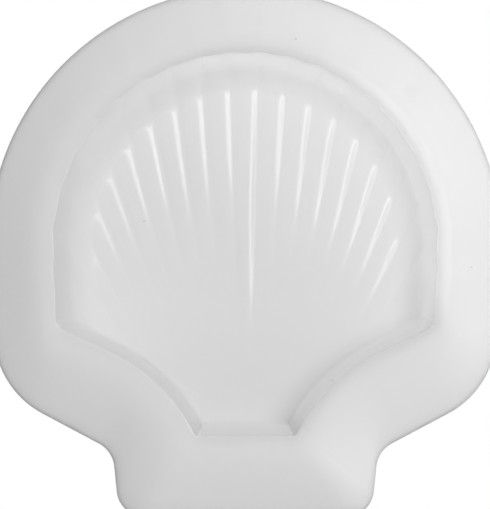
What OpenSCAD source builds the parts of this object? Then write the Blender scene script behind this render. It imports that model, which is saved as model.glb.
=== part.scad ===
// Scallop shell sand mould, one thin plastic moulding divided where it has natural edges.
// X runs across the shell, Y from the hinge to the round edge, and the recess opens upwards along Z.
// The origin is under the middle of the outline, on the plane that the outer wall stands on.

/* [Outline] */
// Radius of the round outer edge
shell_r = 70; // [66:0.5:76]
// Radius of the outer corner of each ear
ear_r = 25; // [20:0.5:28]
// Distance of each ear corner's centre inside the widest point of the round edge
ear_inset = 26.4; // [25:0.2:28]
// Height of the ear corners' centres above the hinge tab's edge
ear_rise = 50.2; // [48:0.2:52]
// Slope of the straight lower edge of each ear, in degrees
ear_angle = 28; // [26:0.5:30]
// Radius of the hollow where an ear meets the hinge tab
neck_r = 8; // [6:0.5:9]
// Width of the hinge tab across its lower end, before its corners are rounded
tab_w = 68.8; // [66:0.2:71]
// Inward lean of each side of the hinge tab, in degrees
tab_angle = 5.7; // [3:0.1:8]
// Radius of the lower corners of the hinge tab
tab_corner_r = 7.6; // [4:0.2:8]
// Distance that the hinge tab's edge stands past the circle of the round edge
tab_out = 4.2; // [3:0.1:8]

/* [Recess] */
// Width of the border between the round edge and the round part of the mouth
border_w = 18.2; // [16:0.2:21]
// Depth of the recess below the land round its mouth
recess_depth = 19.5; // [14:0.5:19.5]
// Inward lean of each straight side of the mouth, in degrees
side_angle = 1.6; // [0.5:0.1:4]
// Height of the mouth's shoulders above the hinge line
shoulder_rise = 29.7; // [28:0.2:32]
// Radius of the mouth's shoulder corners
shoulder_corner_r = 3.5; // [2.5:0.1:4]
// Slope of the straight stretch beside each shoulder, in degrees
shoulder_angle = 25; // [23:0.5:27]
// Radius of the long curve from that stretch down to the hinge line
shoulder_r = 48; // [42:0.5:50]
// Width of the hinge line, before its corners are rounded
hinge_w = 27.2; // [25:0.2:30]
// Radius of the corners at the hinge line
hinge_corner_r = 2; // [1.5:0.1:3]
// Width of the border between the hinge line and the hinge tab's edge
hinge_inset = 22.3; // [20:0.1:24]

/* [Walls] */
// Overall height
mould_h = 24; // [23.5:0.5:30]
// Thickness of the plastic
wall_t = 1.8; // [1.2:0.1:2.2]
// Draft of the fluted wall where it leaves the mouth, in degrees
cove_angle = 14; // [10:0.5:18]
// Radius that carries the fluted wall into the floor
cove_r = 8; // [6:0.25:9]
// Draft of the shoulder walls and the hinge wall, in degrees
low_angle = 8; // [5:0.5:10]
// Radius at the foot of the shoulder walls and the hinge wall
low_fillet_r = 1.6; // [1:0.1:2]

/* [Border] */
// Width of the flat land round the mouth
land_w = 1.8; // [1.2:0.1:3]
// Fall of the border from the land to the top of the outer wall
border_drop = 8.5; // [6:0.25:10]
// Radius of the rounded outer edge
edge_r = 0.8; // [0.5:0.1:1.5]
// Slope of the border where it meets the rounded edge, in degrees
edge_angle = 25; // [22:1:30]

/* [Flutes] */
// Flutes on each side of the middle one
side_flutes = 10; // [8:1:12]
// Height of the flutes above the creases between them
flute_rise = 0.6; // [0.3:0.05:0.9]
// Depth of the notches that the creases leave in the mouth's edge
notch_depth = 0.5; // [0.2:0.05:0.6]
// Distance past the hinge line of the point that the creases run towards
fan_out = 25.1; // [23:0.1:38]
// Sideways bow of the creases
fan_bow = 1.2; // [0.4:0.1:2]

/* [Hidden] */

// Smoothness of the curves: steps in each stretch of the outline, and rows across the surfaces
flute_steps = 4;
shoulder_steps = 10;
straight_steps = 3;
hollow_steps = 14;
corner_steps = 6;
hinge_steps = 8;
dome_steps = 7;
edge_steps = 3;
cove_steps = 6;
floor_steps = 7;
fillet_steps = 3;
rise_steps = 2;
tip_steps = 3;
solve_steps = 14;
// How the flutes widen towards the ears, where along its length a flute starts and ends to sink into
// the floor, and how much further the middle one runs
widening_share = 0.0017;
fade_from_share = 0.12;
fade_to_share = 0.55;
middle_share = 0.2;
// How far round its corner the last ray of each shoulder starts
tip_end_share = 0.97;
bow_per_flute_share = 0.48;
short_ray_share = 0.075;
// Part of a shallow wall's height that its foot radius may take
foot_share = 0.4;
// How far two positions may be apart and count as one
same = 0.001;

// Small helpers for points and directions in the plan
function polar(r, a) = r * [cos(a), sin(a)];
function mix(p, q, f) = p + f * (q - p);
function clamp(x) = max(0, min(1, x));
function smooth(x) = let (c = clamp(x)) c * c * (3 - 2 * c);
// The point p with n1 * p = c1 and n2 * p = c2
function meet(n1, c1, n2, c2) =
    [c1 * n2.y - c2 * n1.y, n1.x * c2 - n2.x * c1] / (n1.x * n2.y - n1.y * n2.x);
function arc(centre, r, a0, a1, n) = [for (i = [0:n - 1]) centre + polar(r, a0 + (a1 - a0) * i / n)];
function line(p, q, n) = [for (i = [0:n - 1]) mix(p, q, i / n)];
function flip(p) = len(p) == 2 ? [-p.x, p.y] : [-p.x, p.y, p.z];

// Outer outline, right half: round edge, side, ear, straight ear edge, neck, tab side, tab corner
tab_reach = shell_r + tab_out;
ear_c = [shell_r - ear_inset, ear_rise - tab_reach];
ear_a0 = atan2(ear_c.y, ear_c.x) + acos((shell_r - ear_r) / norm(ear_c));
ear_a1 = ear_angle - 90;
slope_n = polar(1, ear_a1);
slope_at = slope_n * (ear_c + polar(ear_r, ear_a1));
tab_a = -tab_angle;
tab_n = polar(1, tab_a);
tab_at = tab_n * [tab_w / 2, -tab_reach];
neck_c = meet(slope_n, slope_at + neck_r, tab_n, tab_at + neck_r);
tab_c = meet(tab_n, tab_at - tab_corner_r, [0, -1], tab_reach - tab_corner_r);

// Mouth, right half: round part, side, shoulder corner, straight stretch, hollow curve, hinge corner
mouth_r = shell_r - border_w;
hinge_reach = tab_reach - hinge_inset;
shoulder_drop = hinge_reach - shoulder_rise;
side_a = 90 + side_angle;
side_n = polar(1, -side_angle);
shoulder_a = shoulder_angle - 90;
shoulder_n = polar(1, shoulder_a);
shoulder_tip = [(mouth_r - shoulder_drop * sin(side_angle)) / cos(side_angle), -shoulder_drop];
corner_c = meet(side_n, mouth_r - shoulder_corner_r,
    shoulder_n, shoulder_n * shoulder_tip - shoulder_corner_r);
hollow_dir = polar(1, shoulder_a - 90);
hollow_k = shoulder_tip + shoulder_r * shoulder_n - [hinge_w / 2, -hinge_reach];
hollow_kh = hollow_k * hollow_dir;
hollow_run = -hollow_kh - sqrt(hollow_kh * hollow_kh - hollow_k * hollow_k + shoulder_r * shoulder_r);
hollow_p = shoulder_tip + hollow_run * hollow_dir;
hollow_c = hollow_p + shoulder_r * shoulder_n;
hinge_c_y = hinge_corner_r - hinge_reach;
hinge_c = [hollow_c.x - sqrt(pow(shoulder_r + hinge_corner_r, 2) - pow(hinge_c_y - hollow_c.y, 2)),
    hinge_c_y];
hollow_a1 = atan2(hinge_c.y - hollow_c.y, hinge_c.x - hollow_c.x);

// Angle from the middle line at which the shoulder corner starts, and the mouth's edge at an angle
last_p = corner_c + polar(shoulder_corner_r, -side_angle);
last_a = atan2(last_p.x, last_p.y);
function mouth_at(a, grow = 0) =
    polar(mouth_r / (a > side_a ? cos(a - side_a) : 1) + grow, 90 - a);

// Flutes: creases lie at the half steps of u, and valley is 1 in a crease and 0 on a crest
last_u = side_flutes + 0.5;
function spread(u) = u + widening_share * pow(u, 3);
function angle_of(u) = last_a * spread(u) / spread(last_u);
function valley(u) = u > side_flutes ? 0 : pow(2 * (u - round(u)), 2);
upper_us = [for (i = [0:last_u * flute_steps]) i / flute_steps];

// Matching stations round the mouth and the outer edge, from the top to the hinge, right half
function edge_at(a) = a <= side_a ? polar(shell_r, 90 - (90 - ear_a0) * a / side_a)
    : mix(polar(shell_r, ear_a0), ear_c + polar(ear_r, ear_a0),
        tan(a - side_a) / tan(last_a - side_a));
function edge_n_at(a) = polar(1, a <= side_a ? 90 - (90 - ear_a0) * a / side_a : ear_a0);
half_mouth = concat(
    [for (u = upper_us) mouth_at(angle_of(u), notch_depth * valley(u))],
    [for (i = [1:shoulder_steps - 1]) corner_c
        + polar(shoulder_corner_r, -side_angle + (shoulder_a + side_angle) * i / shoulder_steps)],
    line(corner_c + polar(shoulder_corner_r, shoulder_a), hollow_p, straight_steps),
    arc(hollow_c, shoulder_r, shoulder_a + 180, hollow_a1, hollow_steps),
    arc(hinge_c, hinge_corner_r, hollow_a1 - 180, -90, corner_steps),
    line([hinge_c.x, -hinge_reach], [0, -hinge_reach], hinge_steps),
    [[0, -hinge_reach]]);
half_edge = concat(
    [for (u = upper_us) edge_at(angle_of(u))],
    [for (i = [1:shoulder_steps - 1]) ear_c + polar(ear_r, ear_a0 + (ear_a1 - ear_a0) * i / shoulder_steps)],
    line(ear_c + polar(ear_r, ear_a1), neck_c - neck_r * slope_n, straight_steps),
    arc(neck_c, neck_r, ear_a1 + 180, tab_a + 180, hollow_steps / 2),
    line(neck_c - neck_r * tab_n, tab_c + polar(tab_corner_r, tab_a), hollow_steps / 2),
    arc(tab_c, tab_corner_r, tab_a, -90, corner_steps),
    line([tab_c.x, -tab_reach], [0, -tab_reach], hinge_steps),
    [[0, -tab_reach]]);
half_edge_n = concat(
    [for (u = upper_us) edge_n_at(angle_of(u))],
    [for (i = [1:shoulder_steps - 1]) polar(1, ear_a0 + (ear_a1 - ear_a0) * i / shoulder_steps)],
    [for (i = [1:straight_steps]) slope_n],
    [for (i = [0:hollow_steps / 2 - 1]) polar(1, ear_a1 + (tab_a - ear_a1) * i / (hollow_steps / 2))],
    [for (i = [1:hollow_steps / 2]) tab_n],
    arc([0, 0], 1, tab_a, -90, corner_steps),
    [for (i = [0:hinge_steps]) [0, -1]]);
last_station = len(half_mouth) - 1;

// The whole round trip: the left half downwards, then the right half upwards
function all_round(half) = concat([for (p = half) flip(p)], [for (i = [last_station - 1:-1:1]) half[i]]);
mouth = all_round(half_mouth);
edge = all_round(half_edge);
edge_n = all_round(half_edge_n);
under_z = mould_h - wall_t;
edge_z = mould_h - border_drop;
middle_y = (tab_reach - shell_r) / 2;

// Section of the border at one station, over the plastic and under it
slope_fall = border_drop - edge_r * cos(edge_angle);
// The plastic keeps its thickness on the slope, so the underside falls a little less
under_share = 1 - wall_t * (1 / cos(edge_angle) - 1) / slope_fall;
roll_in = edge_r * (1 - sin(edge_angle));
function dome_fall(f, run) = let (steep = run * tan(edge_angle))
    f * f * (3 * slope_fall - steep) + f * f * f * (steep - 2 * slope_fall);
function raise(p, z) = [p.x, p.y, z];
function border_over(m, e, n) =
    let (stop = e - roll_in * n, way = (stop - m) / norm(stop - m), run = norm(stop - m) - land_w)
    concat([raise(m, mould_h)],
        [for (i = [0:dome_steps]) let (f = i / dome_steps)
            raise(m + way * (land_w + run * f), mould_h - dome_fall(f, run))],
        [for (i = [1:edge_steps]) let (a = edge_angle + (90 - edge_angle) * i / edge_steps)
            raise(e - edge_r * (1 - sin(a)) * n, edge_z + edge_r * cos(a))]);
function border_under(m, e, n) =
    let (stop = e - wall_t * n, way = (stop - m) / norm(stop - m), run = norm(stop - m) - land_w)
    concat([raise(m, under_z)],
        [for (i = [0:dome_steps]) let (f = i / dome_steps)
            raise(m + way * (land_w + run * f), under_z - dome_fall(f, run) * under_share)],
        [for (i = [1:edge_steps])
            raise(stop, mix(under_z - slope_fall * under_share, edge_z, i / edge_steps))]);

// The creases run towards this point below the hinge, and a ray to it touches the shoulder corner here
fan_tip = [0, -hinge_reach - fan_out];
fan_d = fan_tip - corner_c;
touch_a = atan2(fan_d.y, fan_d.x) + acos(shoulder_corner_r / norm(fan_d));

// Lower edge of the mouth as one line from the shoulder corner past the hinge's middle
low_line = concat(
    arc(corner_c, shoulder_corner_r, touch_a, shoulder_a, shoulder_steps),
    [corner_c + polar(shoulder_corner_r, shoulder_a)],
    arc(hollow_c, shoulder_r, shoulder_a + 180, hollow_a1, hollow_steps),
    arc(hinge_c, hinge_corner_r, hollow_a1 - 180, -90, corner_steps),
    [[hinge_c.x, -hinge_reach], [-hinge_c.x, -hinge_reach]]);
low_last = len(low_line) - 2;

// The way from p to one piece of that line, and to the nearest
function way_at(p, i) = let (a = low_line[i], way = low_line[i + 1] - a)
    a + clamp((p - a) * way / (way * way)) * way - p;
function low_way(p) = let (ways = [for (i = [0:low_last]) way_at(p, i)], least = min([for (w = ways) norm(w)]))
    [for (w = ways) if (norm(w) <= least) w][0];
// Where the ray from p along d crosses it: [length, outward normal]
function hit_at(p, d, i) = let (a = low_line[i], s = low_line[i + 1] - a, k = d.x * s.y - d.y * s.x,
        f = ((a.x - p.x) * d.y - (a.y - p.y) * d.x) / k, t = ((a.x - p.x) * s.y - (a.y - p.y) * s.x) / k)
    [t, f, [-s.y, s.x] / norm(s)];
function crossing(p, d) = [for (i = [0:low_last]) let (h = hit_at(p, d, i))
    if (h[0] > same && h[1] >= 0 && h[1] < 1) [h[0], h[2]]][0];

// Section of the fluted wall: depth, and lean of its outward normal, at a distance from the mouth
wall_depth = recess_depth - wall_t;
cove_start = (wall_depth - cove_r * (1 - sin(cove_angle))) * tan(cove_angle);
cove_w = cove_start + cove_r * cos(cove_angle);
function depth_of(d) = d >= cove_w ? wall_depth
    : d > cove_start ? wall_depth - cove_r + sqrt(pow(cove_r, 2) - pow(cove_w - d, 2))
    : d / tan(cove_angle);
function lean_of(d) = d >= cove_w ? 90 : d > cove_start ? acos((cove_w - d) / cove_r) : cove_angle;
cove_ds = concat([0, cove_start / 2, cove_start],
    [for (i = [1:cove_steps - 2])
        cove_w - cove_r * cos(cove_angle + (90 - cove_angle) * i / (cove_steps - 2))]);

// Distance of a point from the round part and sides of the mouth, and the way out to them
function on_round(p) = atan2(p.x, p.y) <= side_a;
function high_gap(p) = mouth_r - (on_round(p) ? norm(p) : side_n * p);
function way_out(p) = on_round(p) ? p / norm(p) : side_n;
// Length along the ray from p to the line that runs at distance d inside the mouth
function inset_len(p, d, gap) =
    let (b = p * d, k = b * b - p * p + pow(mouth_r - gap, 2), l = -b - sqrt(max(0, k)))
    k > 0 && on_round(p + l * d) ? l : (side_n * p - mouth_r + gap) / -(side_n * d);

// A ray runs from the upper mouth towards the fan's tip: [start, direction, length, end normal, u]
function ray_from(p, u) = let (d = (fan_tip - p) / norm(fan_tip - p), h = crossing(p, d))
    [p, d, h[0], h[1], u];
half_rays = concat(
    [for (u = upper_us) ray_from(mouth_at(angle_of(u)), u)],
    [for (i = [1:tip_steps]) let (a = (touch_a + side_angle) * tip_end_share * i / tip_steps - side_angle)
        ray_from(corner_c + polar(shoulder_corner_r, a), last_u)]);
last_ray = len(half_rays) - 1;
function bowed(ray, l) =
    let (side = [-ray[1].y, ray[1].x],
        bow = fan_bow * smooth(ray[4] * bow_per_flute_share) * smooth(ray[2] / mouth_r))
    ray[0] + l * ray[1] + bow * sin(180 * l / ray[2]) * side;
function ray_depth(ray, l) = depth_of(high_gap(bowed(ray, l)));
function foot_r(depth) = min(low_fillet_r, foot_share * depth);
function foot_gap(depth) = depth * tan(low_angle) + foot_r(depth) * tan(45 - low_angle / 2);
// Halves the stretch that holds the foot of the lower wall until it is found
function foot_len(ray, lo, hi, rounds) = let (l = (lo + hi) / 2)
    rounds == 0 ? l
    : norm(low_way(bowed(ray, l))) > foot_gap(ray_depth(ray, l)) ? foot_len(ray, l, hi, rounds - 1)
    : foot_len(ray, lo, l, rounds - 1);
half_feet = [for (r = half_rays) foot_len(r, 0, r[2], solve_steps)];

// Rows of the fluted surfaces along one ray: on top, and under the plastic
row_last = cove_steps + floor_steps;
function row_len(ray, foot, k) =
    let (step = min(k, cove_steps),
        cove = min(inset_len(ray[0], ray[1], cove_ds[step]), foot * short_ray_share * step))
    k <= cove_steps ? cove : mix(cove, foot, (k - cove_steps) / floor_steps);
// Notches in the mouth's edge give way to crests that rise from the floor and fade towards the hinge
function flute_sink(ray, l, gap) =
    let (from = fade_from_share + (round(ray[4]) == 0 ? middle_share : 0),
        fade = smooth((l / ray[2] - from) / (fade_to_share - fade_from_share)))
    (1 - fade) * mix(notch_depth * valley(ray[4]), -flute_rise * (1 - valley(ray[4])), smooth(gap / cove_w));
function surface_at(ray, l, k, t) =
    let (p = bowed(ray, l), gap = high_gap(p), lean = lean_of(gap), out = way_out(p),
        sink = flute_sink(ray, l, gap) + t,
        z = under_z - depth_of(gap))
    k == 0 ? raise(ray[0] + sink * ray_out(ray), under_z)
    : raise(p + sink * cos(lean) * out, z - sink * sin(lean));
function ray_out(ray) = way_out(ray[0]);
function fluted_rows(ray, foot, t, k0, k1) =
    [for (k = [k0:k1]) surface_at(ray, row_len(ray, foot, k), k, t)];

// The point of the ray, past its foot, that lies at a distance from the lower edge
function near_low(ray, gap, lo, hi, rounds) = let (l = (lo + hi) / 2)
    rounds == 0 ? bowed(ray, l)
    : norm(low_way(bowed(ray, l))) > gap ? near_low(ray, gap, l, hi, rounds - 1)
    : near_low(ray, gap, lo, l, rounds - 1);
// Rows of a lower wall along one ray, from its foot to the mouth, on the inside or the outside
function low_row(ray, foot, gap, z, out, down) =
    let (p = near_low(ray, gap, foot, ray[2], solve_steps), way = low_way(p))
    raise(p + out * way / norm(way), z - down);
function low_rows(ray, foot, t) =
    let (depth = ray_depth(ray, foot), r = foot_r(depth), gap = foot_gap(depth), top_a = 90 - low_angle,
        foot_z = under_z - depth, wall_gap = gap - r * sin(top_a), wall_z = foot_z + r * (1 - cos(top_a)))
    concat([surface_at(ray, foot, row_last, t)],
        [for (i = [1:fillet_steps]) let (a = top_a * i / fillet_steps)
            low_row(ray, foot, gap - r * sin(a), foot_z + r * (1 - cos(a)), t * sin(a), t * cos(a))],
        [for (i = [1:rise_steps - 1]) let (f = i / rise_steps)
            low_row(ray, foot, mix(wall_gap, 0, f), mix(wall_z, under_z, f),
                t * mix(sin(top_a), 1, f), t * mix(cos(top_a), 0, f))],
        [raise(bowed(ray, ray[2]) + t * ray[3], under_z)]);

// Both halves side by side, from the left shoulder over the top to the right shoulder
function both(list) = concat([for (i = [last_ray:-1:1]) [for (p = list[i]) flip(p)]], list);
function fluted(t, k0, k1) =
    both([for (i = [0:last_ray]) fluted_rows(half_rays[i], half_feet[i], t, k0, k1)]);
low_inside = [for (i = [0:last_ray]) low_rows(half_rays[i], half_feet[i], 0)];
low_outside = [for (i = [0:last_ray]) low_rows(half_rays[i], half_feet[i], wall_t)];
function end_x(i) = half_rays[i][0].x + half_rays[i][2] * half_rays[i][1].x;
hinge_ray = max([for (i = [0:last_ray]) if (end_x(i) <= hinge_c.x) i]);

// A closed piece of plastic between its upper and its under points, as a strip or as a ring
module sheet(over, under, ring = false) {
    rows = len(over[0]);
    n = len(over);
    points = concat([for (s = over) each s], [for (s = under) each s]);
    half = n * rows;
    laps = ring ? n - 1 : n - 2;
    function at(i, k) = (i % n) * rows + k;
    faces = concat(
        [for (i = [0:laps], k = [0:rows - 2]) each [
            [at(i, k), at(i + 1, k), at(i + 1, k + 1)], [at(i, k), at(i + 1, k + 1), at(i, k + 1)],
            [half + at(i, k), half + at(i + 1, k + 1), half + at(i + 1, k)],
            [half + at(i, k), half + at(i, k + 1), half + at(i + 1, k + 1)]]],
        [for (i = [0:laps]) each [
            [at(i, 0), half + at(i, 0), half + at(i + 1, 0)], [at(i, 0), half + at(i + 1, 0), at(i + 1, 0)],
            [at(i, rows - 1), half + at(i + 1, rows - 1), half + at(i, rows - 1)],
            [at(i, rows - 1), at(i + 1, rows - 1), half + at(i + 1, rows - 1)]]],
        ring ? [] : [for (k = [0:rows - 2]) each [
            [at(0, k), half + at(0, k + 1), half + at(0, k)], [at(0, k), at(0, k + 1), half + at(0, k + 1)],
            [at(n - 1, k), half + at(n - 1, k), half + at(n - 1, k + 1)],
            [at(n - 1, k), half + at(n - 1, k + 1), at(n - 1, k + 1)]]]);
    polyhedron(points, faces);
}

module border() {
    color("whitesmoke") translate([0, middle_y, 0]) sheet(
        [for (i = [0:len(mouth) - 1]) border_over(mouth[i], edge[i], edge_n[i])],
        [for (i = [0:len(mouth) - 1]) border_under(mouth[i], edge[i], edge_n[i])], ring = true);
}

module outer_wall() {
    color("whitesmoke") translate([0, middle_y, 0]) linear_extrude(height = edge_z) difference() {
        polygon(edge);
        polygon([for (i = [0:len(edge) - 1]) edge[i] - wall_t * edge_n[i]]);
    }
}

module fluted_wall() {
    color("white") translate([0, middle_y, 0])
        sheet(fluted(0, 0, cove_steps), fluted(wall_t, 0, cove_steps));
}

module fluted_floor() {
    color("white") translate([0, middle_y, 0])
        sheet(fluted(0, cove_steps, row_last), fluted(wall_t, cove_steps, row_last));
}

module shoulder_wall() {
    picked = [hinge_ray:last_ray];
    sheet([for (i = picked) low_inside[i]], [for (i = picked) low_outside[i]]);
}

module shoulder_wall_left() {
    color("white") translate([0, middle_y, 0]) mirror([1, 0, 0]) shoulder_wall();
}

module shoulder_wall_right() {
    color("white") translate([0, middle_y, 0]) shoulder_wall();
}

module hinge_wall() {
    left = [for (i = [hinge_ray:-1:1]) i];
    right = [0:hinge_ray];
    color("white") translate([0, middle_y, 0]) sheet(
        concat([for (i = left) [for (p = low_inside[i]) flip(p)]], [for (i = right) low_inside[i]]),
        concat([for (i = left) [for (p = low_outside[i]) flip(p)]], [for (i = right) low_outside[i]]));
}

border();
outer_wall();
fluted_wall();
fluted_floor();
shoulder_wall_left();
shoulder_wall_right();
hinge_wall();
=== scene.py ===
import math

import bpy
import numpy as np
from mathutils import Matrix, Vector


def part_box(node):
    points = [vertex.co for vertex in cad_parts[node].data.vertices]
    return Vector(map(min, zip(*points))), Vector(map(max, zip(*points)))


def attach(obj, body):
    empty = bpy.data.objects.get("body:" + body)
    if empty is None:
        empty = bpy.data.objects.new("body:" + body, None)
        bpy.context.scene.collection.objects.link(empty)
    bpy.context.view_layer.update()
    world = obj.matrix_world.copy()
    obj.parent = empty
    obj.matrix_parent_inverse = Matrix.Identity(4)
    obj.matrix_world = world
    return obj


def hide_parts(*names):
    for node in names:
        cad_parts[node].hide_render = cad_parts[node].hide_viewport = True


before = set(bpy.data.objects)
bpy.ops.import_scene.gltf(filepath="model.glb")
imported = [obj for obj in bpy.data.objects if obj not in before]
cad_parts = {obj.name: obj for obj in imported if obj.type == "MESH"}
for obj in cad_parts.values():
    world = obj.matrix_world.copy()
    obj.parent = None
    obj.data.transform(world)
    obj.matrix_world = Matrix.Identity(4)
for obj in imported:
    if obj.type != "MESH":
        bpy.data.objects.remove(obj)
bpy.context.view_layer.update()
mm = 0.001
deg = math.pi / 180
closeEnough = 0.001 * mm         # nearer than this, two points are one
smoothAngle = 35 * deg

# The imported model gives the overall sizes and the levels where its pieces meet
borderLow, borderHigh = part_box("border")
landLevel = borderHigh.z
edgeLevel = borderLow.z
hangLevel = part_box("fluted_wall")[1].z
wallThickness = landLevel - hangLevel
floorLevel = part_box("fluted_floor")[0].z + wallThickness
shellRadius = round((borderHigh.x - borderLow.x) / 2, 5)    # to the nearest 0.01 mm
middleY = borderHigh.y - shellRadius

outline = {
    "earRadius": 25 * mm,
    "earInset": 26.4 * mm,
    "earRise": 50.2 * mm,
    "earAngle": 28 * deg,
    "neckRadius": 8 * mm,
    "tabWidth": 68.8 * mm,
    "tabAngle": 5.7 * deg,
    "tabCornerRadius": 7.6 * mm,
}
mouth = {
    "borderWidth": 18.2 * mm,
    "sideAngle": 1.6 * deg,
    "shoulderRise": 29.7 * mm,
    "cornerRadius": 3.5 * mm,
    "shoulderAngle": 25 * deg,
    "shoulderRadius": 48 * mm,
    "hingeWidth": 27.2 * mm,
    "hingeCornerRadius": 2 * mm,
    "hingeInset": 22.3 * mm,
}
flutes = {
    "perSide": 10,
    "widening": 0.0017,
    "rise": 0.6 * mm,
    "notchDepth": 0.5 * mm,
    "roundFrom": 0.88,          # share of the half flute where the crease starts to round
    "fadeFrom": 0.12,           # shares of a flute's length
    "fadeTo": 0.68,
    "middleFurther": 0.2,
    "fanOut": 25.1 * mm,
    "bow": 1.2 * mm,
    "bowPerFlute": 0.48,
}
walls = {
    "depth": 19.5 * mm,
    "coveAngle": 14 * deg,
    "coveRadius": 8 * mm,
    "lowAngle": 8 * deg,
    "lowFillet": 1.6 * mm,
    "footShare": 0.4,
    "topShare": 0.35,           # the walls' thickness where they hang from the border
    "topHeight": 7 * mm,
    "shortRay": 0.45,           # share of a short ray that its part of the cove may take
    "tipEnd": 0.99,             # share of the way round its corner where the last ray starts
}
steps = {"flute": 12, "corner": 18, "straight": 8, "hollow": 44, "hingeCorner": 12, "hinge": 24,
         "tip": 8, "cove": 26, "floor": 30, "fillet": 8, "rise": 6, "halvings": 30}


def polar(radius, angle):
    return np.multiply.outer(radius, np.ones(2)) * np.stack([np.cos(angle), np.sin(angle)], axis=-1)


def arc(centre, radius, start, end, count):
    return centre + polar(radius, np.linspace(start, end, count, endpoint=False))


def line(start, end, count):
    return np.linspace(start, end, count, endpoint=False)


def smooth(share):
    share = np.clip(share, 0, 1)
    return share * share * (3 - 2 * share)


def meet(normalA, levelA, normalB, levelB):
    cross = normalA[0] * normalB[1] - normalA[1] * normalB[0]
    return np.array([levelA * normalB[1] - levelB * normalA[1],
                     normalA[0] * levelB - normalB[0] * levelA]) / cross


# Outer outline: tangent arcs and lines, measured from the centre of the round edge
tabReach = middleY - borderLow.y
earCentre = np.array([shellRadius - outline["earInset"], outline["earRise"] - tabReach])
earStart = math.atan2(earCentre[1], earCentre[0]) + math.acos(
    (shellRadius - outline["earRadius"]) / np.linalg.norm(earCentre))
earEnd = outline["earAngle"] - math.pi / 2
slopeNormal = polar(1, earEnd)
slopeAt = slopeNormal @ (earCentre + polar(outline["earRadius"], earEnd))
tabAngle = -outline["tabAngle"]
tabNormal = polar(1, tabAngle)
tabAt = tabNormal @ np.array([outline["tabWidth"] / 2, -tabReach])
neckCentre = meet(slopeNormal, slopeAt + outline["neckRadius"], tabNormal, tabAt + outline["neckRadius"])
tabCentre = meet(tabNormal, tabAt - outline["tabCornerRadius"],
                 np.array([0, -1]), tabReach - outline["tabCornerRadius"])

# Mouth: round part, straight sides, shoulder corners, hollow curves and the hinge line
mouthRadius = shellRadius - mouth["borderWidth"]
hingeReach = tabReach - mouth["hingeInset"]
shoulderDrop = hingeReach - mouth["shoulderRise"]
sideAngle = math.pi / 2 + mouth["sideAngle"]
sideNormal = polar(1, -mouth["sideAngle"])
shoulderAngle = mouth["shoulderAngle"] - math.pi / 2
shoulderNormal = polar(1, shoulderAngle)
shoulderTip = np.array([(mouthRadius - shoulderDrop * math.sin(mouth["sideAngle"]))
                        / math.cos(mouth["sideAngle"]), -shoulderDrop])
cornerCentre = meet(sideNormal, mouthRadius - mouth["cornerRadius"],
                    shoulderNormal, shoulderNormal @ shoulderTip - mouth["cornerRadius"])
hollowWay = polar(1, shoulderAngle - math.pi / 2)
hollowFrom = shoulderTip + mouth["shoulderRadius"] * shoulderNormal - np.array(
    [mouth["hingeWidth"] / 2, -hingeReach])
hollowAlong = hollowFrom @ hollowWay
hollowRun = -hollowAlong - math.sqrt(
    hollowAlong ** 2 - hollowFrom @ hollowFrom + mouth["shoulderRadius"] ** 2)
hollowStart = shoulderTip + hollowRun * hollowWay
hollowCentre = hollowStart + mouth["shoulderRadius"] * shoulderNormal
hingeCentreY = mouth["hingeCornerRadius"] - hingeReach
hingeCentre = np.array([hollowCentre[0] - math.sqrt(
    (mouth["shoulderRadius"] + mouth["hingeCornerRadius"]) ** 2
    - (hingeCentreY - hollowCentre[1]) ** 2), hingeCentreY])
hollowEnd = math.atan2(hingeCentre[1] - hollowCentre[1], hingeCentre[0] - hollowCentre[0])
cornerFrom = cornerCentre + polar(mouth["cornerRadius"], -mouth["sideAngle"])
lastAngle = math.atan2(cornerFrom[0], cornerFrom[1])
lastFlute = flutes["perSide"] + 0.5


def spread(flute):
    return flute + flutes["widening"] * flute ** 3


def angleOf(flute):
    return lastAngle * spread(flute) / spread(lastFlute)


# 1 in a crease and 0 on a crest, with a rounded bottom to the crease
def valley(flute):
    across = np.abs(2 * (flute - np.round(flute)))
    over = np.maximum(0, across - flutes["roundFrom"])
    return np.where(flute > flutes["perSide"], 0, across ** 2 - over ** 2 / (1 - flutes["roundFrom"]))


def mouthAt(angle, grow=0.0):
    straight = np.where(angle > sideAngle, np.cos(angle - sideAngle), 1)
    return polar(mouthRadius / straight + grow, math.pi / 2 - angle)


def edgeAt(angle):
    turn = math.pi / 2 - (math.pi / 2 - earStart) * np.minimum(angle, sideAngle) / sideAngle
    along = np.tan(np.maximum(angle - sideAngle, 0)) / math.tan(lastAngle - sideAngle)
    side = outline["earRadius"] * polar(1, earStart) + earCentre - polar(shellRadius, earStart)
    return polar(shellRadius, turn) + along[:, None] * side, polar(1, turn)


upperFlutes = np.arange(int(lastFlute * steps["flute"]) + 1) / steps["flute"]
upperAngles = angleOf(upperFlutes)


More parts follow.
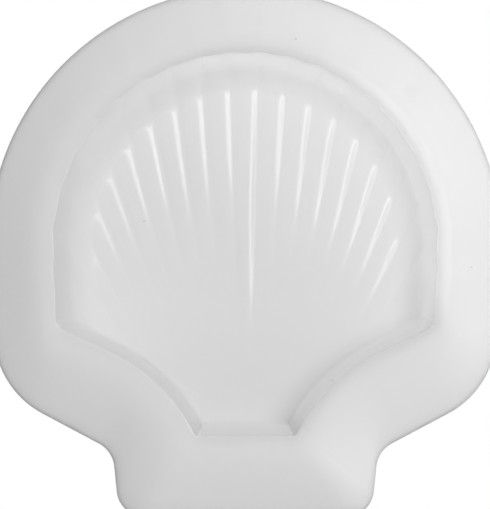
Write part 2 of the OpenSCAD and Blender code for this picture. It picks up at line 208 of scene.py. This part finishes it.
# Right half of the mouth's edge, from the top to the hinge, and the same stations on the outer edge
def halfStations():
    corner = np.arange(1, steps["corner"]) / steps["corner"]
    neckSteps = steps["hollow"] // 2
    mouthHalf = np.concatenate([
        mouthAt(upperAngles, flutes["notchDepth"] * valley(upperFlutes)),
        cornerCentre + polar(mouth["cornerRadius"],
                             -mouth["sideAngle"] + (shoulderAngle + mouth["sideAngle"]) * corner),
        line(cornerCentre + polar(mouth["cornerRadius"], shoulderAngle), hollowStart, steps["straight"]),
        arc(hollowCentre, mouth["shoulderRadius"], shoulderAngle + math.pi, hollowEnd, steps["hollow"]),
        arc(hingeCentre, mouth["hingeCornerRadius"], hollowEnd - math.pi, -math.pi / 2,
            steps["hingeCorner"]),
        line([hingeCentre[0], -hingeReach], [0, -hingeReach], steps["hinge"] + 1)[:-1],
        [[0, -hingeReach]]])
    upperEdge, upperNormal = edgeAt(upperAngles)
    neckStart = neckCentre - outline["neckRadius"] * slopeNormal
    neckEnd = neckCentre - outline["neckRadius"] * tabNormal
    tabStart = tabCentre + polar(outline["tabCornerRadius"], tabAngle)
    earTurn = earStart + (earEnd - earStart) * corner
    edgeHalf = np.concatenate([
        upperEdge,
        earCentre + polar(outline["earRadius"], earTurn),
        line(earCentre + polar(outline["earRadius"], earEnd), neckStart, steps["straight"]),
        arc(neckCentre, outline["neckRadius"], earEnd + math.pi, tabAngle + math.pi, neckSteps),
        line(neckEnd, tabStart, steps["hollow"] - neckSteps),
        arc(tabCentre, outline["tabCornerRadius"], tabAngle, -math.pi / 2, steps["hingeCorner"]),
        line([tabCentre[0], -tabReach], [0, -tabReach], steps["hinge"] + 1)[:-1],
        [[0, -tabReach]]])
    normalHalf = np.concatenate([
        upperNormal,
        polar(1, earTurn),
        np.tile(slopeNormal, (steps["straight"], 1)),
        polar(1, np.linspace(earEnd, tabAngle, neckSteps, endpoint=False)),
        np.tile(tabNormal, (steps["hollow"] - neckSteps, 1)),
        polar(1, np.linspace(tabAngle, -math.pi / 2, steps["hingeCorner"], endpoint=False)),
        np.tile([0.0, -1.0], (steps["hinge"] + 1, 1))])
    return mouthHalf, edgeHalf, normalHalf


# Both halves as one ring, down the left side and up the right side
def allRound(half):
    left = half * [-1, 1]
    return np.concatenate([left, half[-2:0:-1]])


mouthRing, edgeRing, edgeNormals = (allRound(half) for half in halfStations())
alongMouth = np.roll(mouthRing, -1, axis=0) - np.roll(mouthRing, 1, axis=0)
mouthNormals = np.stack([alongMouth[:, 1], -alongMouth[:, 0]], axis=-1)
mouthNormals /= np.linalg.norm(mouthNormals, axis=1)[:, None]


def withHeight(points, heights):
    return np.concatenate([points, np.broadcast_to(heights, points.shape[:-1])[..., None]], axis=-1)


# A grid whose rows and columns are laid over the given points
def addGrid(name, points):
    rows, columns = points.shape[:2]
    bpy.ops.object.select_all(action="DESELECT")
    bpy.ops.mesh.primitive_grid_add(x_subdivisions=columns - 1, y_subdivisions=rows - 1, size=shellRadius)
    piece = bpy.context.object
    piece.name = piece.data.name = name
    piece.data.vertices.foreach_set("co", points.reshape(-1))
    piece.data.update()
    return piece


def mergeDoubles(piece):
    bpy.context.view_layer.objects.active = piece
    bpy.ops.object.mode_set(mode="EDIT")
    bpy.ops.mesh.select_all(action="SELECT")
    bpy.ops.mesh.remove_doubles(threshold=closeEnough)
    bpy.ops.object.mode_set(mode="OBJECT")


# A ring of closed sections is a grid rolled up both ways, merged at its seams
def addRing(name, sections):
    points = np.stack(sections + sections[:1]) + [0, middleY, 0]
    piece = addGrid(name, np.concatenate([points, points[:, :1]], axis=1))
    mergeDoubles(piece)
    return piece


# A curved sheet is a grid, thickened, with its underside set at the plastic's thickness, and merged
# where its columns run together
def addSheet(name, over, under):
    shift = [0, middleY, 0]
    piece = addGrid(name, over + shift)
    solidify = piece.modifiers.new("Thickness", "SOLIDIFY")
    solidify.thickness = wallThickness
    solidify.offset = -1
    bpy.ops.object.modifier_apply(modifier=solidify.name)
    both = np.concatenate([(over + shift).reshape(-1, 3), (under + shift).reshape(-1, 3)])
    piece.data.vertices.foreach_set("co", both.reshape(-1))
    piece.data.update()
    mergeDoubles(piece)
    return piece


def smoothShade(piece):
    bpy.ops.object.select_all(action="DESELECT")
    piece.select_set(True)
    bpy.context.view_layer.objects.active = piece
    bpy.ops.object.shade_smooth_by_angle(angle=smoothAngle)


border = {
    "landWidth": 1.8 * mm,
    "edgeRadius": 0.8 * mm,
    "edgeAngle": 25 * deg,
    "mouthRadius": 0.15 * mm,    # rounding of the mouth's edge
    "landSteps": 4,
    "domeSteps": 26,
    "rollSteps": 8,
    "mouthSteps": 7,
    "underSteps": 12,
}


def makeBorder():
    fall = landLevel - edgeLevel - border["edgeRadius"] * math.cos(border["edgeAngle"])
    rollIn = border["edgeRadius"] * (1 - math.sin(border["edgeAngle"]))
    underShare = 1 - wallThickness * (1 / math.cos(border["edgeAngle"]) - 1) / fall

    def domeFall(share, run):
        steep = run * math.tan(border["edgeAngle"])
        return share ** 2 * (3 * fall - steep) + share ** 3 * (steep - 2 * fall)

    stop = edgeRing - rollIn * edgeNormals
    reach = np.linalg.norm(stop - mouthRing, axis=1)
    way = (stop - mouthRing) / reach[:, None]
    run = reach - border["landWidth"]
    sections = []
    for turn in np.linspace(math.pi / 2, border["edgeAngle"], border["rollSteps"], endpoint=False):
        sections.append(withHeight(edgeRing - border["edgeRadius"] * (1 - math.sin(turn)) * edgeNormals,
                                   edgeLevel + border["edgeRadius"] * math.cos(turn)))
    for share in np.linspace(1, 0, border["domeSteps"] + 1):
        points = mouthRing + way * (border["landWidth"] + run * share)[:, None]
        sections.append(withHeight(points, landLevel - domeFall(share, run)))
    lip = mouthRing + border["mouthRadius"] * mouthNormals
    landEnd = mouthRing + border["landWidth"] * way
    for share in np.linspace(0, 1, border["landSteps"] + 1)[1:]:
        sections.append(withHeight(landEnd + share * (lip - landEnd), landLevel))
    for turn in np.linspace(0, math.pi / 2, border["mouthSteps"] + 1)[1:]:
        sections.append(withHeight(mouthRing + border["mouthRadius"] * (1 - math.sin(turn)) * mouthNormals,
                                   landLevel - border["mouthRadius"] * (1 - math.cos(turn))))
    sections.append(withHeight(mouthRing, hangLevel))
    inner = edgeRing - wallThickness * edgeNormals
    innerReach = np.linalg.norm(inner - mouthRing, axis=1)
    innerWay = (inner - mouthRing) / innerReach[:, None]
    innerRun = innerReach - border["landWidth"]
    for share in np.linspace(0, 1, border["underSteps"] + 1):
        points = mouthRing + innerWay * (border["landWidth"] + innerRun * share)[:, None]
        sections.append(withHeight(points, hangLevel - underShare * domeFall(share, innerRun)))
    sections.append(withHeight(inner, edgeLevel))
    return addRing("moulded_border", sections)


outerWall = {"lipRadius": 0.5 * mm, "lipSteps": 4, "wallSteps": 10,
             "topShare": 0.35, "topHeight": 7 * mm}


# The hidden side thins towards the border, so that light reaches the edge
def makeOuterWall():
    lip = outerWall["lipRadius"]
    levels = np.linspace(lip, edgeLevel, outerWall["wallSteps"] + 1)
    turns = np.linspace(0, math.pi / 2, outerWall["lipSteps"] + 1)[1:]
    full = smooth((edgeLevel - levels) / outerWall["topHeight"])
    thicks = wallThickness * (outerWall["topShare"] + (1 - outerWall["topShare"]) * full)
    ins = np.concatenate([np.zeros(len(levels)), lip * (1 - np.cos(turns)),
                          wallThickness - lip * (1 - np.cos(turns[::-1])), thicks])
    heights = np.concatenate([levels[::-1], lip * (1 - np.sin(turns)),
                              lip * (1 - np.sin(turns[::-1])), levels])
    return addRing("outer_wall_skin", [
        withHeight(edgeRing - into * edgeNormals, height) for into, height in zip(ins[::-1], heights[::-1])])


# The creases run towards this point below the hinge, and a ray to it touches the shoulder corner here
fanTip = np.array([0, -hingeReach - flutes["fanOut"]])
fanWay = fanTip - cornerCentre
touchAngle = math.atan2(fanWay[1], fanWay[0]) + math.acos(mouth["cornerRadius"] / np.linalg.norm(fanWay))

# Lower edge of the mouth as one line, from a shoulder corner past the hinge
lowLine = np.concatenate([
    arc(cornerCentre, mouth["cornerRadius"], touchAngle, shoulderAngle, steps["corner"]),
    [cornerCentre + polar(mouth["cornerRadius"], shoulderAngle)],
    arc(hollowCentre, mouth["shoulderRadius"], shoulderAngle + math.pi, hollowEnd, steps["hollow"] * 2),
    arc(hingeCentre, mouth["hingeCornerRadius"], hollowEnd - math.pi, -math.pi / 2, steps["hingeCorner"]),
    [[hingeCentre[0], -hingeReach], [-hingeCentre[0], -hingeReach]]])
lowStarts, lowWays = lowLine[:-1], lowLine[1:] - lowLine[:-1]


# The way from each point to the nearest point of the lower edge, and its length
def wayToLow(points):
    offset = points[:, None, :] - lowStarts[None]
    share = np.clip((offset * lowWays).sum(-1) / (lowWays ** 2).sum(-1), 0, 1)
    ways = share[..., None] * lowWays - offset
    return ways[np.arange(len(points)), np.linalg.norm(ways, axis=-1).argmin(axis=1)]


def lowGap(points):
    return np.linalg.norm(wayToLow(points), axis=1)


# Where each ray crosses the lower edge, and the outward normal there
def crossings(starts, ways):
    side = ways[:, None, 0] * lowWays[None, :, 1] - ways[:, None, 1] * lowWays[None, :, 0]
    offset = lowStarts[None] - starts[:, None]
    share = (offset[..., 0] * ways[:, None, 1] - offset[..., 1] * ways[:, None, 0]) / side
    length = (offset[..., 0] * lowWays[:, 1] - offset[..., 1] * lowWays[:, 0]) / side
    good = (share >= 0) & (share < 1) & (length > closeEnough)
    first = np.argmax(good, axis=1)
    rows = np.arange(len(starts))
    normals = np.stack([-lowWays[first, 1], lowWays[first, 0]], axis=-1)
    return length[rows, first], normals / np.linalg.norm(normals, axis=1)[:, None]


# Rays run from the upper mouth towards the fan's tip, and carry the flutes
tipShares = np.linspace(0, walls["tipEnd"], steps["tip"] + 1)[1:]
rayStarts = np.concatenate([
    mouthAt(upperAngles),
    cornerCentre + polar(mouth["cornerRadius"],
                         (touchAngle + mouth["sideAngle"]) * tipShares - mouth["sideAngle"])])
rayFlutes = np.concatenate([upperFlutes, np.full(steps["tip"], lastFlute)])
rayWays = (fanTip - rayStarts) / np.linalg.norm(fanTip - rayStarts, axis=1)[:, None]
rayLengths, rayEndNormals = crossings(rayStarts, rayWays)
rayBows = flutes["bow"] * smooth(rayFlutes * flutes["bowPerFlute"]) * smooth(rayLengths / mouthRadius)


def bowed(lengths):
    side = np.stack([-rayWays[:, 1], rayWays[:, 0]], axis=-1)
    bow = rayBows * np.sin(math.pi * lengths / rayLengths)
    return rayStarts + lengths[:, None] * rayWays + bow[:, None] * side


# Section of the fluted wall: straight draft, then a cove down to the floor
wallDepth = walls["depth"] - wallThickness
straightDepth = wallDepth - walls["coveRadius"] * (1 - math.sin(walls["coveAngle"]))
coveStart = straightDepth * math.tan(walls["coveAngle"])
coveWidth = coveStart + walls["coveRadius"] * math.cos(walls["coveAngle"])


def depthOf(gap):
    cove = wallDepth - walls["coveRadius"] + np.sqrt(
        np.maximum(0, walls["coveRadius"] ** 2 - (coveWidth - gap) ** 2))
    return np.where(gap >= coveWidth, wallDepth,
                    np.where(gap > coveStart, cove, gap / math.tan(walls["coveAngle"])))


def leanOf(gap):
    lean = np.arccos(np.clip((coveWidth - gap) / walls["coveRadius"], -1, 1))
    return np.where(gap >= coveWidth, math.pi / 2, np.where(gap > coveStart, lean, walls["coveAngle"]))


def onRound(points):
    return np.arctan2(points[:, 0], points[:, 1]) <= sideAngle


def highGap(points):
    return mouthRadius - np.where(onRound(points), np.linalg.norm(points, axis=1), points @ sideNormal)


def wayOut(points):
    radial = points / np.linalg.norm(points, axis=1)[:, None]
    return np.where(onRound(points)[:, None], radial, sideNormal)


# Length along each ray to the line that runs at a distance inside the mouth
def insetLength(gap):
    along = -(rayStarts * rayWays).sum(-1)
    inside = along ** 2 - (rayStarts ** 2).sum(-1) + (mouthRadius - gap) ** 2
    length = along - np.sqrt(np.maximum(0, inside))
    straight = -(rayStarts @ sideNormal - mouthRadius + gap) / (rayWays @ sideNormal)
    good = (inside > 0) & onRound(rayStarts + length[:, None] * rayWays)
    return np.where(good, length, straight)


def footRadius(depth):
    return np.minimum(walls["lowFillet"], walls["footShare"] * depth)


def footGap(depth):
    filletRun = footRadius(depth) * math.tan(math.pi / 4 - walls["lowAngle"] / 2)
    return depth * math.tan(walls["lowAngle"]) + filletRun


# Length along each ray, between two lengths, up to which its points pass a test
def halve(low, high, passes):
    for turn in range(steps["halvings"]):
        middle = (low + high) / 2
        further = passes(bowed(middle))
        low, high = np.where(further, middle, low), np.where(further, high, middle)
    return (low + high) / 2


# Where the floor ends and the foot of the lower walls starts
rayFeet = halve(np.zeros(len(rayLengths)), rayLengths,
                lambda points: lowGap(points) > footGap(depthOf(highGap(points))))


# Notches in the mouth's edge give way to crests that rise from the floor and fade towards the hinge
def fluteSink(lengths, gap):
    start = flutes["fadeFrom"] + np.where(rayFlutes < 0.5, flutes["middleFurther"], 0)
    fade = smooth((lengths / rayLengths - start) / (flutes["fadeTo"] - flutes["fadeFrom"]))
    low, grown = valley(rayFlutes), smooth(gap / coveWidth)
    return (1 - fade) * ((1 - grown) * flutes["notchDepth"] * low - grown * flutes["rise"] * (1 - low))


# The hidden side of each wall thins towards the mouth, so that light reaches its edge
def thinned(thickness, depth):
    return thickness * (walls["topShare"] + (1 - walls["topShare"]) * smooth(depth / walls["topHeight"]))


# Points of the fluted surface at a length along each ray, on top or under the plastic
def surfaceAt(lengths, thickness, atMouth=False):
    points = bowed(lengths)
    gap = highGap(points)
    sink = fluteSink(lengths, gap) + thinned(thickness, np.zeros(len(gap)) if atMouth else depthOf(gap))
    if atMouth:
        return withHeight(rayStarts + sink[:, None] * wayOut(rayStarts), hangLevel)
    lean = leanOf(gap)
    return withHeight(points + (sink * np.cos(lean))[:, None] * wayOut(points),
                      hangLevel - depthOf(gap) - sink * np.sin(lean))


def bowlRows(thickness):
    turns = np.linspace(walls["coveAngle"], math.pi / 2, steps["cove"] - steps["rise"])
    distances = np.concatenate([
        np.linspace(0, coveStart, steps["rise"] + 1)[1:],
        coveWidth - walls["coveRadius"] * np.cos(turns[1:])])
    rows = [surfaceAt(np.zeros(len(rayLengths)), thickness, atMouth=True)]
    for step, distance in enumerate(distances, 1):
        length = np.minimum(insetLength(distance), walls["shortRay"] * rayFeet * step / len(distances))
        rows.append(surfaceAt(length, thickness))
    last = length
    for share in np.linspace(0, 1, steps["floor"] + 1)[1:]:
        rows.append(surfaceAt(last + share * (rayFeet - last), thickness))
    return rows


# Points past each ray's foot, at a distance from the lower edge, moved outwards through the plastic
def nearLow(gap, across):
    points = bowed(halve(rayFeet, rayLengths, lambda points: lowGap(points) > gap))
    ways = wayToLow(points)
    return points + across * ways / np.linalg.norm(ways, axis=1)[:, None]


# A fillet at the foot, then a straight wall up to the mouth
def lowRows(thickness):
    depth = depthOf(highGap(bowed(rayFeet)))
    radius, gap = footRadius(depth), footGap(depth)
    lastTurn = math.pi / 2 - walls["lowAngle"]
    wallGap = gap - radius * math.sin(lastTurn)
    wallFoot = radius * (1 - math.cos(lastTurn)) - depth
    rows = []
    for turn in np.linspace(0, lastTurn, steps["fillet"] + 1)[1:]:
        points = nearLow(gap - radius * math.sin(turn), thickness * math.sin(turn))
        drop = depth - radius * (1 - math.cos(turn)) + thickness * math.cos(turn)
        rows.append(withHeight(points, hangLevel - drop))
    for share in np.linspace(0, 1, steps["rise"] + 1)[1:-1]:
        across = (1 - share) * thickness * math.sin(lastTurn) + share * thinned(thickness, 0)
        down = (1 - share) * thickness * math.cos(lastTurn)
        rows.append(withHeight(nearLow(wallGap * (1 - share), across),
                               hangLevel + (1 - share) * wallFoot - down))
    rows.append(withHeight(bowed(rayLengths) + thinned(thickness, 0) * rayEndNormals, hangLevel))
    return rows


# Both halves side by side, from the lower walls' tops up to the round part of the mouth
def recessSurface(thickness):
    rows = np.stack((bowlRows(thickness) + lowRows(thickness))[::-1])
    left = rows[:, :0:-1] * [-1, 1, 1]
    return np.concatenate([left, rows], axis=1)


def makeRecess():
    return addSheet("fluted_recess", recessSurface(0), recessSurface(wallThickness))


# One output of a material's nodes, with arithmetic on it
class Wire:
    def __init__(self, tree, socket=None):
        self.tree, self.socket = tree, socket

    # Sockets go by their names, with _ for a space, or by i and their number
    def node(self, kind, settings=None, output=0, **inputs):
        made = self.tree.nodes.new("ShaderNode" + kind)
        for name, value in (settings or {}).items():
            setattr(made, name, value)
        for name, value in inputs.items():
            target = made.inputs[int(name[1:]) if name[1:].isdigit() else name.replace("_", " ")]
            if isinstance(value, Wire):
                self.tree.links.new(value.socket, target)
            else:
                target.default_value = value
        return Wire(self.tree, made.outputs[output] if made.outputs else None)

    def other(self, output):
        return Wire(self.tree, self.socket.node.outputs[output])

    def maths(self, operation, first, second=0.0):
        return self.node("Math", {"operation": operation}, i0=first, i1=second)

    # 0 up to one value and 1 from another, with a soft start and end
    def ramp(self, start, end):
        return self.node("MapRange", {"interpolation_type": "SMOOTHSTEP"}, Value=self,
                         From_Min=start, From_Max=end)

    # One colour where this is 0 and another where it is 1
    def mix(self, first, second):
        return self.node("Mix", {"data_type": "RGBA"}, output=2, i0=self, i6=first, i7=second)

    def __add__(self, other):
        return self.maths("ADD", self, other)

    def __mul__(self, other):
        return self.maths("MULTIPLY", self, other)

    def __sub__(self, other):
        return self.maths("SUBTRACT", self, other)

    def __rsub__(self, other):
        return self.maths("SUBTRACT", other, self)

    __radd__ = __add__
    __rmul__ = __mul__


# Faintly translucent white plastic, with places as distances from the round edge's middle
plastic = {
    "colour": (0.862, 0.86, 0.86),
    "tint": (0.85, 0.842, 0.846),
    "throughColour": (0.95, 0.95, 0.95),
    "ior": 1.5,
    "waveScale": 45,            # slow unevenness of tone, gloss and surface
    "waveDetail": 3.0,
    "waveGloss": 0.1,
    "waveHeight": 2,
    "peelScale": 260,           # fine unevenness of the surface
    "peelDetail": 2.0,
    "peelDepth": 0.02 * mm,
    "peelStrength": 0.25,
    "polished": 41.5 * mm,      # the left wall round the polished floor of the recess is duller
    "dull": 43.5 * mm,
    "leftFrom": -8 * mm,
    "leftTo": -20 * mm,
    "paintedLightLandColour": (0.97, 0.97, 0.97),
    "landThrough": 0.35,        # painted light: on the lit side the mouth's land is painted paler, and it passes more light
    "landFall": 0.45 * mm,
    "rightFrom": 10 * mm,
    "rightTo": 46 * mm,
    "earFrom": -24 * mm,
    "earTo": -8 * mm,
    "paintedShadeFrom": -14 * mm,        # painted shade: the floor of the recess is painted darker towards the hinge
    "paintedShadeTo": -44 * mm,
    "paintedShadeRise": 1.5 * mm,
    "speckShade": 0.3,
    "speckCore": 0.5,           # share of a mark's radius that has its full strength
}
# Specks of dust and faint scuffs, by their distance to the right of and above the round edge's middle
marks = [
    {"right": 13.6 * mm, "up": 55.6 * mm, "radius": 0.36 * mm, "strength": 1.0},
    {"right": -27.9 * mm, "up": 6.5 * mm, "radius": 0.3 * mm, "strength": 0.9},
    {"right": 61.3 * mm, "up": -6.1 * mm, "radius": 0.3 * mm, "strength": 0.9},
    {"right": 23.7 * mm, "up": -36.9 * mm, "radius": 0.3 * mm, "strength": 0.9},
    {"right": -8.3 * mm, "up": 65.1 * mm, "radius": 2.4 * mm, "strength": 0.06},
    {"right": 44.9 * mm, "up": 41.7 * mm, "radius": 2.6 * mm, "strength": 0.07},
]
# The recess is a painted-shade copy of the border's plastic, with its colours scaled darker
finishes = {
    "border": {"paintedShadeScale": 1.0, "roughness": 0.42, "duller": 0.0, "through": 0.62, "paintedHingeShadeStrength": 0.0},
    "recess": {"paintedShadeScale": 0.97, "roughness": 0.17, "duller": 0.4, "through": 0.5, "paintedHingeShadeStrength": 0.1},
}


def makePlastic(name, finish):
    # Colours scaled by the finish's painted shade
    def withPaintedShade(colour):
        return (*(finish["paintedShadeScale"] * part for part in colour), 1)

    material = bpy.data.materials.new(name + "_plastic_finish")
    material.use_nodes = True
    material.node_tree.nodes.clear()
    wire = Wire(material.node_tree)
    place = wire.node("TexCoord", output="Object")
    waves = wire.node("TexNoise", Vector=place, Scale=plastic["waveScale"], Detail=plastic["waveDetail"])
    peel = wire.node("TexNoise", Vector=place, Scale=plastic["peelScale"], Detail=plastic["peelDetail"])
    across = wire.node("SeparateXYZ", Vector=place)
    along = across.other(1) - middleY
    height = across.other(2)
    reach = wire.maths("SQRT", across * across + along * along)
    dull = reach.ramp(plastic["polished"], plastic["dull"]) * across.ramp(
        plastic["leftFrom"], plastic["leftTo"])
    # Painted light: the mouth's land on the lit right side is painted paler
    paintedLitLand = height.ramp(landLevel - plastic["landFall"], landLevel) * across.ramp(
        plastic["rightFrom"], plastic["rightTo"]) * along.ramp(plastic["earFrom"], plastic["earTo"])
    # Painted shade: the recess floor is darkened towards the hinge
    paintedHingeShade = along.ramp(plastic["paintedShadeFrom"], plastic["paintedShadeTo"]) * height.ramp(
        floorLevel + plastic["paintedShadeRise"], floorLevel) * finish["paintedHingeShadeStrength"]

    colour = waves.mix(withPaintedShade(plastic["colour"]), withPaintedShade(plastic["tint"]))
    colour = paintedLitLand.mix(colour, withPaintedShade(plastic["paintedLightLandColour"]))
    colour = paintedHingeShade.mix(colour, (0, 0, 0, 1))
    for mark in marks:
        sideways, upwards = across - mark["right"], along - mark["up"]
        apart = wire.maths("SQRT", sideways * sideways + upwards * upwards)
        inside = apart.ramp(mark["radius"], mark["radius"] * plastic["speckCore"])
        colour = (inside * mark["strength"]).mix(colour, (*(plastic["speckShade"],) * 3, 1))

    bump = wire.node("Bump", Height=peel + waves * plastic["waveHeight"], Strength=plastic["peelStrength"],
                     Distance=plastic["peelDepth"])
    roughness = finish["roughness"] + (waves - 0.5) * plastic["waveGloss"] + dull * finish["duller"]
    gloss = wire.node("BsdfPrincipled", Base_Color=colour, Normal=bump, IOR=plastic["ior"],
                      Roughness=roughness)
    passing = wire.node("BsdfTranslucent", Color=withPaintedShade(plastic["throughColour"]), Normal=bump)
    through = finish["through"] + paintedLitLand * plastic["landThrough"]
    wire.node("OutputMaterial", Surface=wire.node("MixShader", Fac=through, i1=gloss, i2=passing))
    return material


stage = {"floorSize": 3.0, "floorShade": 0.85, "floorGlow": 0.1, "worldStrength": 0.09}


# 1 for what the camera sees, straight or through a reflection
def lightPath(wire):
    seen = wire.node("LightPath", output="Is Camera Ray")
    return wire.maths("MINIMUM", seen + seen.other("Is Glossy Ray") + seen.other("Is Transmission Ray"), 1.0)


def makeStage():
    bpy.ops.object.select_all(action="DESELECT")
    bpy.ops.mesh.primitive_plane_add(size=stage["floorSize"])
    floor = bpy.context.object
    floor.name = "floor"
    material = bpy.data.materials.new("floor_white")
    material.use_nodes = True
    material.node_tree.nodes.clear()
    wire = Wire(material.node_tree)
    matt = wire.node("BsdfDiffuse", Color=(*(stage["floorShade"],) * 3, 1))
    glow = wire.node("Emission", Color=(1, 1, 1, 1), Strength=1.0)
    white = wire.maths("MAXIMUM", lightPath(wire), stage["floorGlow"])
    mixed = wire.node("MixShader", Fac=white, i1=matt, i2=glow)
    wire.node("OutputMaterial", Surface=mixed)
    material.cycles.emission_sampling = "NONE"
    floor.data.materials.append(material)

    world = bpy.data.worlds.new("studio")
    bpy.context.scene.world = world
    world.use_nodes = True
    world.node_tree.nodes.clear()
    wire = Wire(world.node_tree)
    lit = wire.node("Background", Color=(1, 1, 1, 1), Strength=stage["worldStrength"])
    white = wire.node("Background", Color=(1, 1, 1, 1), Strength=1.0)
    mixed = wire.node("MixShader", Fac=lightPath(wire), i1=lit, i2=white)
    wire.node("OutputWorld", Surface=mixed)


# The strip draws the thin highlights, the window and the left lamp light the border, and the others
# light the recess. A mirrored lamp shows in the plastic's gloss. The fill shines through the walls
lamps = {
    "strip": {"azimuth": -1 * deg, "elevation": 68.5 * deg, "distance": 1.1, "power": 2.0,
              "width": 0.46, "height": 0.11, "lights": "recess", "mirrored": True, "shadows": True},
    "window": {"azimuth": 24 * deg, "elevation": 43 * deg, "distance": 1.3, "power": 12.8,
               "width": 0.7, "height": 0.7, "lights": "border", "mirrored": True, "shadows": True},
    "side": {"azimuth": 8 * deg, "elevation": 70 * deg, "distance": 1.3, "power": 4.75,
             "width": 0.7, "height": 0.5, "lights": "recess", "mirrored": False, "shadows": True},
    "fill": {"azimuth": 110 * deg, "elevation": 25 * deg, "distance": 0.9, "power": 1.85,
             "width": 0.8, "height": 0.6, "lights": "recess", "mirrored": False, "shadows": False},
    "back": {"azimuth": 215 * deg, "elevation": 15 * deg, "distance": 0.9, "power": 4.2,
             "width": 0.6, "height": 0.2, "lights": "recess", "mirrored": False, "shadows": True},
    "left": {"azimuth": 185 * deg, "elevation": 20 * deg, "distance": 0.9, "power": 0.4,
             "width": 0.6, "height": 0.4, "lights": "border", "mirrored": False, "shadows": True},
}


def addLamp(name, place, lit, unshaded):
    light = bpy.data.lights.new(name, "AREA")
    light.shape = "RECTANGLE"
    light.size, light.size_y = place["width"], place["height"]
    light.energy = place["power"]
    lamp = bpy.data.objects.new(name, light)
    bpy.context.collection.objects.link(lamp)
    flat = math.cos(place["elevation"])
    away = Vector((math.cos(place["azimuth"]) * flat, math.sin(place["azimuth"]) * flat,
                   math.sin(place["elevation"])))
    lamp.location = away * place["distance"]
    lamp.rotation_euler = away.to_track_quat("Z", "Y").to_euler()
    lamp.visible_glossy = place["mirrored"]
    lamp.light_linking.receiver_collection = lit
    if not place["shadows"]:
        lamp.light_linking.blocker_collection = unshaded


def makeLamps(borderPieces, recessPieces):
    unshaded = bpy.data.collections.new("unshaded")
    unshaded.objects.link(bpy.data.objects["floor"])
    groups = {}
    for name, members in (("border", borderPieces), ("recess", recessPieces)):
        groups[name] = bpy.data.collections.new(name + "_lit")
        for piece in members:
            groups[name].objects.link(piece)
    for name, place in lamps.items():
        addLamp(name, place, groups[place["lights"]], unshaded)


# The picture's size and the round edge's middle, in pixels
camera = {"width": 490, "height": 509, "middleX": 245.3, "middleY": 244.7,
          "pixel": 0.2728 * mm, "distance": 0.9, "clipEnd": 10}


def makeCamera():
    data = bpy.data.cameras.new("photograph")
    data.sensor_fit = "HORIZONTAL"
    data.lens = data.sensor_width * camera["distance"] / (camera["width"] * camera["pixel"])
    data.clip_end = camera["clipEnd"]
    view = bpy.data.objects.new("photograph", data)
    bpy.context.collection.objects.link(view)
    view.location = ((camera["width"] / 2 - camera["middleX"]) * camera["pixel"],
                     middleY + (camera["middleY"] - camera["height"] / 2) * camera["pixel"],
                     edgeLevel + camera["distance"])
    bpy.context.scene.camera = view


bpy.context.scene.view_settings.view_transform = "Standard"
makeCamera()
makeStage()
print("stage and camera ready")

borderPiece = makeBorder()
wallPiece = makeOuterWall()
print("border and outer wall modelled")
recessPiece = makeRecess()
print("recess modelled")

borderPlastic = makePlastic("border", finishes["border"])
recessPlastic = makePlastic("recess", finishes["recess"])
pieces = [
    (borderPiece, ["border"], "border_plastic", borderPlastic),
    (wallPiece, ["outer_wall"], "border_plastic", borderPlastic),
    (recessPiece, ["fluted_wall", "fluted_floor", "shoulder_wall_left", "shoulder_wall_right", "hinge_wall"],
     "recess_plastic", recessPlastic),
]
for piece, nodes, slot, finish in pieces:
    smoothShade(piece)
    piece.data.materials.clear()
    piece.data.materials.append(finish)
    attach(piece, "root")
    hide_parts(*nodes)
print("pieces finished:", len(pieces))

makeLamps([borderPiece, wallPiece], [recessPiece])
print("lamps placed:", len(lamps))
